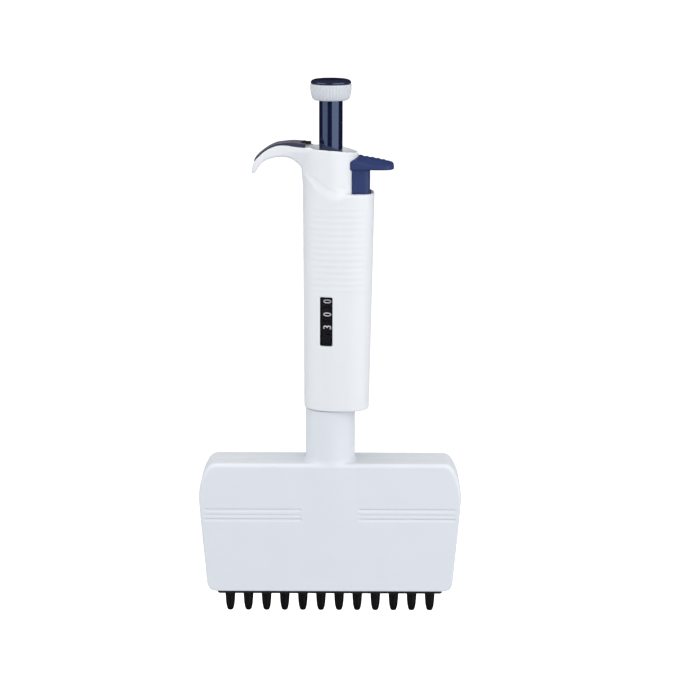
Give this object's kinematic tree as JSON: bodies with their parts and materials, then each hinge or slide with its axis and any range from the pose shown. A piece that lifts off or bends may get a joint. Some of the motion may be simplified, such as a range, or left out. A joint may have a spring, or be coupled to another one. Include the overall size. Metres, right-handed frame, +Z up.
{
  "type": "multichannel pipette",
  "caption": "Hand-held adjustable multichannel pipette: push-and-turn plunger, finger hook, tip ejector, digit counter and a wide swivelling head over one row of tip cones.",
  "frame": {"origin": "on the plunger axis, level with the nozzle ends, at the centre of the base of the bounding box", "axes": "+Z up the plunger axis, -Y the side of the counter window, -X the side of the finger hook, nozzle row along X"},
  "size_m": [0.1278, 0.028, 0.2633],
  "materials": {
    "handle_white": "satin moulded white",
    "head_white": "satin moulded white, slightly cooler",
    "inner_white": "plain moulded off-white",
    "navy": "polished navy",
    "ejector_navy": "satin navy",
    "strip_navy": "satin navy",
    "ring_white": "fine vertical flutes",
    "black": "satin black",
    "digit_black": "satin black, white numerals in the looks only",
    "lens_clear": "clear, polished",
    "cone_black": "satin black composite",
    "piston_steel": "ground and polished",
    "spring_steel": "drawn wire and stamped steel"
  },
  "bodies": {
    "handle": {"handle_shell": "handle_white", "hook_strip": "strip_navy", "window_lens": "lens_clear", "top_bush": "inner_white", "bottom_cap": "inner_white", "stop_tube": "inner_white", "blowout_spring": "spring_steel", "ejector_spring": "spring_steel", "counter_frame": "black", "counter_spacer": "digit_black"},
    "plunger": {"plunger_rod": "piston_steel"},
    "knob": {"button_cap": "navy", "adjust_ring": "ring_white", "plunger_sleeve": "navy"},
    "ones": {"drive_spindle": "inner_white", "digit_ring_ones": "digit_black"},
    "tens": {"digit_ring_tens": "digit_black"},
    "hundreds": {"digit_ring_hundreds": "digit_black"},
    "ejector": {"ejector_button": "ejector_navy", "ejector_rod": "piston_steel", "ejector_bridge": "inner_white"},
    "head": {"head_cover_front": "head_white", "head_cover_rear": "head_white", "neck_spigot": "inner_white", "retaining_ring": "spring_steel", "cone_base": "inner_white", "cover_screw_1": "spring_steel", "cover_screw_2": "spring_steel", "guide_rod_left": "piston_steel", "guide_rod_right": "piston_steel", "return_spring_left": "spring_steel", "return_spring_right": "spring_steel", "tip_cone_01": "cone_black", "tip_cone_02": "cone_black", "tip_cone_03": "cone_black", "tip_cone_04": "cone_black", "tip_cone_05": "cone_black", "tip_cone_06": "cone_black", "tip_cone_07": "cone_black", "tip_cone_08": "cone_black", "tip_cone_09": "cone_black", "tip_cone_10": "cone_black", "tip_cone_11": "cone_black", "tip_cone_12": "cone_black"},
    "pistons": {"piston_bridge": "inner_white", "piston_01": "piston_steel", "piston_02": "piston_steel", "piston_03": "piston_steel", "piston_04": "piston_steel", "piston_05": "piston_steel", "piston_06": "piston_steel", "piston_07": "piston_steel", "piston_08": "piston_steel", "piston_09": "piston_steel", "piston_10": "piston_steel", "piston_11": "piston_steel", "piston_12": "piston_steel"},
    "stripper": {"ejector_sleeve": "inner_white", "ejector_yoke": "inner_white", "ejector_comb": "black"}
  },
  "joints": [
    {"name": "plunger_press", "type": "slide", "parent": "handle", "child": "plunger", "axis": [0, 0, -1], "range_m": [0, 0.0158], "stiffness_N_per_m": 400, "springref_m": -0.012, "deforming": ["blowout_spring"]},
    {"name": "volume_turn", "type": "hinge", "parent": "plunger", "child": "knob", "pos_m": [0, 0, 0.25], "axis": [0, 0, 1], "range_deg": [-9720, 0]},
    {"name": "ones_turn", "type": "hinge", "parent": "handle", "child": "ones", "pos_m": [0, 0, 0.158], "axis": [0, 0, 1], "range_deg": [-9720, 0]},
    {"name": "tens_turn", "type": "hinge", "parent": "handle", "child": "tens", "pos_m": [0, 0, 0.152], "axis": [0, 0, 1], "range_deg": [-972, 0]},
    {"name": "hundreds_turn", "type": "hinge", "parent": "handle", "child": "hundreds", "pos_m": [0, 0, 0.145], "axis": [0, 0, 1], "range_deg": [-97.2, 0]},
    {"name": "ejector_press", "type": "slide", "parent": "handle", "child": "ejector", "axis": [0, 0, -1], "range_m": [0, 0.007], "stiffness_N_per_m": 300, "springref_m": -0.012, "deforming": ["ejector_spring"]},
    {"name": "head_swivel", "type": "hinge", "parent": "handle", "child": "head", "pos_m": [0, 0, 0.1], "axis": [0, 0, 1], "continuous": true},
    {"name": "piston_stroke", "type": "slide", "parent": "head", "child": "pistons", "axis": [0, 0, -1], "range_m": [0, 0.0158], "deforming": ["return_spring_left", "return_spring_right"]},
    {"name": "stripper_stroke", "type": "slide", "parent": "head", "child": "stripper", "axis": [0, 0, -1], "range_m": [0, 0.007]}
  ],
  "couplings": [
    {"joint": "ones_turn", "follows": "volume_turn", "ratio": 1},
    {"joint": "tens_turn", "follows": "volume_turn", "ratio": 0.1},
    {"joint": "hundreds_turn", "follows": "volume_turn", "ratio": 0.01},
    {"joint": "piston_stroke", "follows": "plunger_press", "ratio": 1},
    {"joint": "stripper_stroke", "follows": "ejector_press", "ratio": 1}
  ]
}
